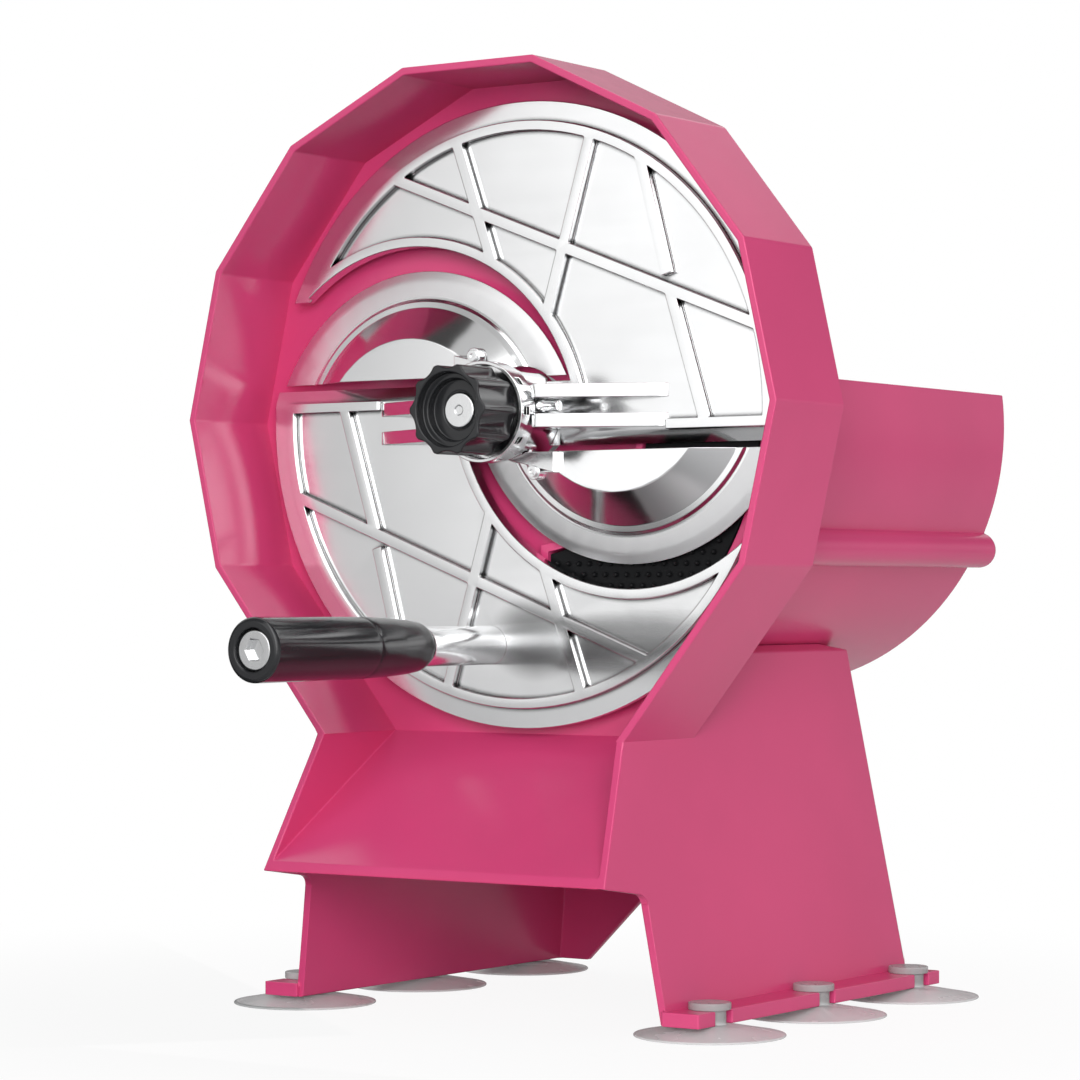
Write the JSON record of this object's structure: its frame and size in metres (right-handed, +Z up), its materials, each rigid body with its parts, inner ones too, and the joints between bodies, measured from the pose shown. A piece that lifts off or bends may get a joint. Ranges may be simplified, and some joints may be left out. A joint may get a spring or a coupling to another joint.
{
  "type": "hand cranked rotary food slicer",
  "caption": "Crank-turned disc slicer: half-moon blades in an open many-sided drum, food trough and pusher behind, slice chute and suction-cup stand below.",
  "frame": {"origin": "on the table, under the middle of the bounding box", "axes": "+X to the right of someone who faces the disc, which is the hopper's side; +Y back along the axle, away from the handle; +Z up"},
  "size_m": [0.28, 0.356, 0.375],
  "materials": {
    "body_paint": "glossy raspberry pink stove enamel",
    "bright_alloy": "polished cast alloy",
    "cast_alloy": "satin cast alloy",
    "blade_steel": "polished stainless sheet",
    "turned_steel": "bright turned steel",
    "screw_steel": "bright plated steel",
    "spring_steel": "drawn spring wire",
    "bronze": "turned bronze",
    "knob_plastic": "glossy black moulding",
    "black_plastic": "satin black moulding",
    "cup_rubber": "translucent grey rubber"
  },
  "bodies": {
    "housing": {"drum_housing": "body_paint", "back_plate": "body_paint", "base_stand": "body_paint", "feed_hopper": "body_paint", "hopper_screws": "screw_steel", "bearing_housing": "cast_alloy", "bearing_screws": "screw_steel", "front_bush": "bronze", "rear_bush": "bronze", "rear_cap": "black_plastic", "cup_front_left": "cup_rubber", "cup_middle_left": "cup_rubber", "cup_rear_left": "cup_rubber", "cup_front_right": "cup_rubber", "cup_middle_right": "cup_rubber", "cup_rear_right": "cup_rubber"},
    "rotor": {"spindle": "turned_steel", "blade_carrier": "bright_alloy", "drive_pin": "screw_steel", "blade_upper": "blade_steel", "blade_lower": "blade_steel", "blade_screws": "screw_steel", "thrust_washer": "bronze", "rear_washer": "screw_steel", "spindle_nut": "screw_steel", "disc_spring": "spring_steel"},
    "gauge_disc": {"slicing_disc": "bright_alloy", "disc_hub": "bright_alloy", "index_ring": "blade_steel", "detent_plunger": "screw_steel", "handle_stem": "turned_steel", "stem_screw": "screw_steel", "grip_screw": "screw_steel"},
    "knob": {"adjusting_knob": "knob_plastic", "knob_insert": "bronze", "knob_cap": "screw_steel"},
    "grip": {"handle_grip": "knob_plastic"},
    "pusher": {"pusher_block": "black_plastic", "pusher_carriage": "black_plastic", "guide_rod": "turned_steel", "pusher_handle": "knob_plastic", "pusher_screws": "screw_steel"}
  },
  "joints": [
    {"name": "crank_spin", "type": "hinge", "parent": "housing", "child": "rotor", "pos_m": [0, 0, 0.2385], "axis": [0, 1, 0], "continuous": true},
    {"name": "thickness_slide", "type": "slide", "parent": "rotor", "child": "gauge_disc", "axis": [0, -1, 0], "range_m": [0, 0.008]},
    {"name": "knob_turn", "type": "hinge", "parent": "gauge_disc", "child": "knob", "pos_m": [0, -0.067, 0.2385], "axis": [0, -1, 0], "range_deg": [0, 1440]},
    {"name": "grip_spin", "type": "hinge", "parent": "gauge_disc", "child": "grip", "pos_m": [-0.01504, -0.119, 0.14663], "axis": [0, 1, 0], "continuous": true},
    {"name": "pusher_slide", "type": "slide", "parent": "housing", "child": "pusher", "axis": [0, 1, 0], "range_m": [0, 0.11]}
  ],
  "couplings": [
    {"joint": "knob_turn", "follows": "thickness_slide", "rad_per_m": 3141.6}
  ]
}
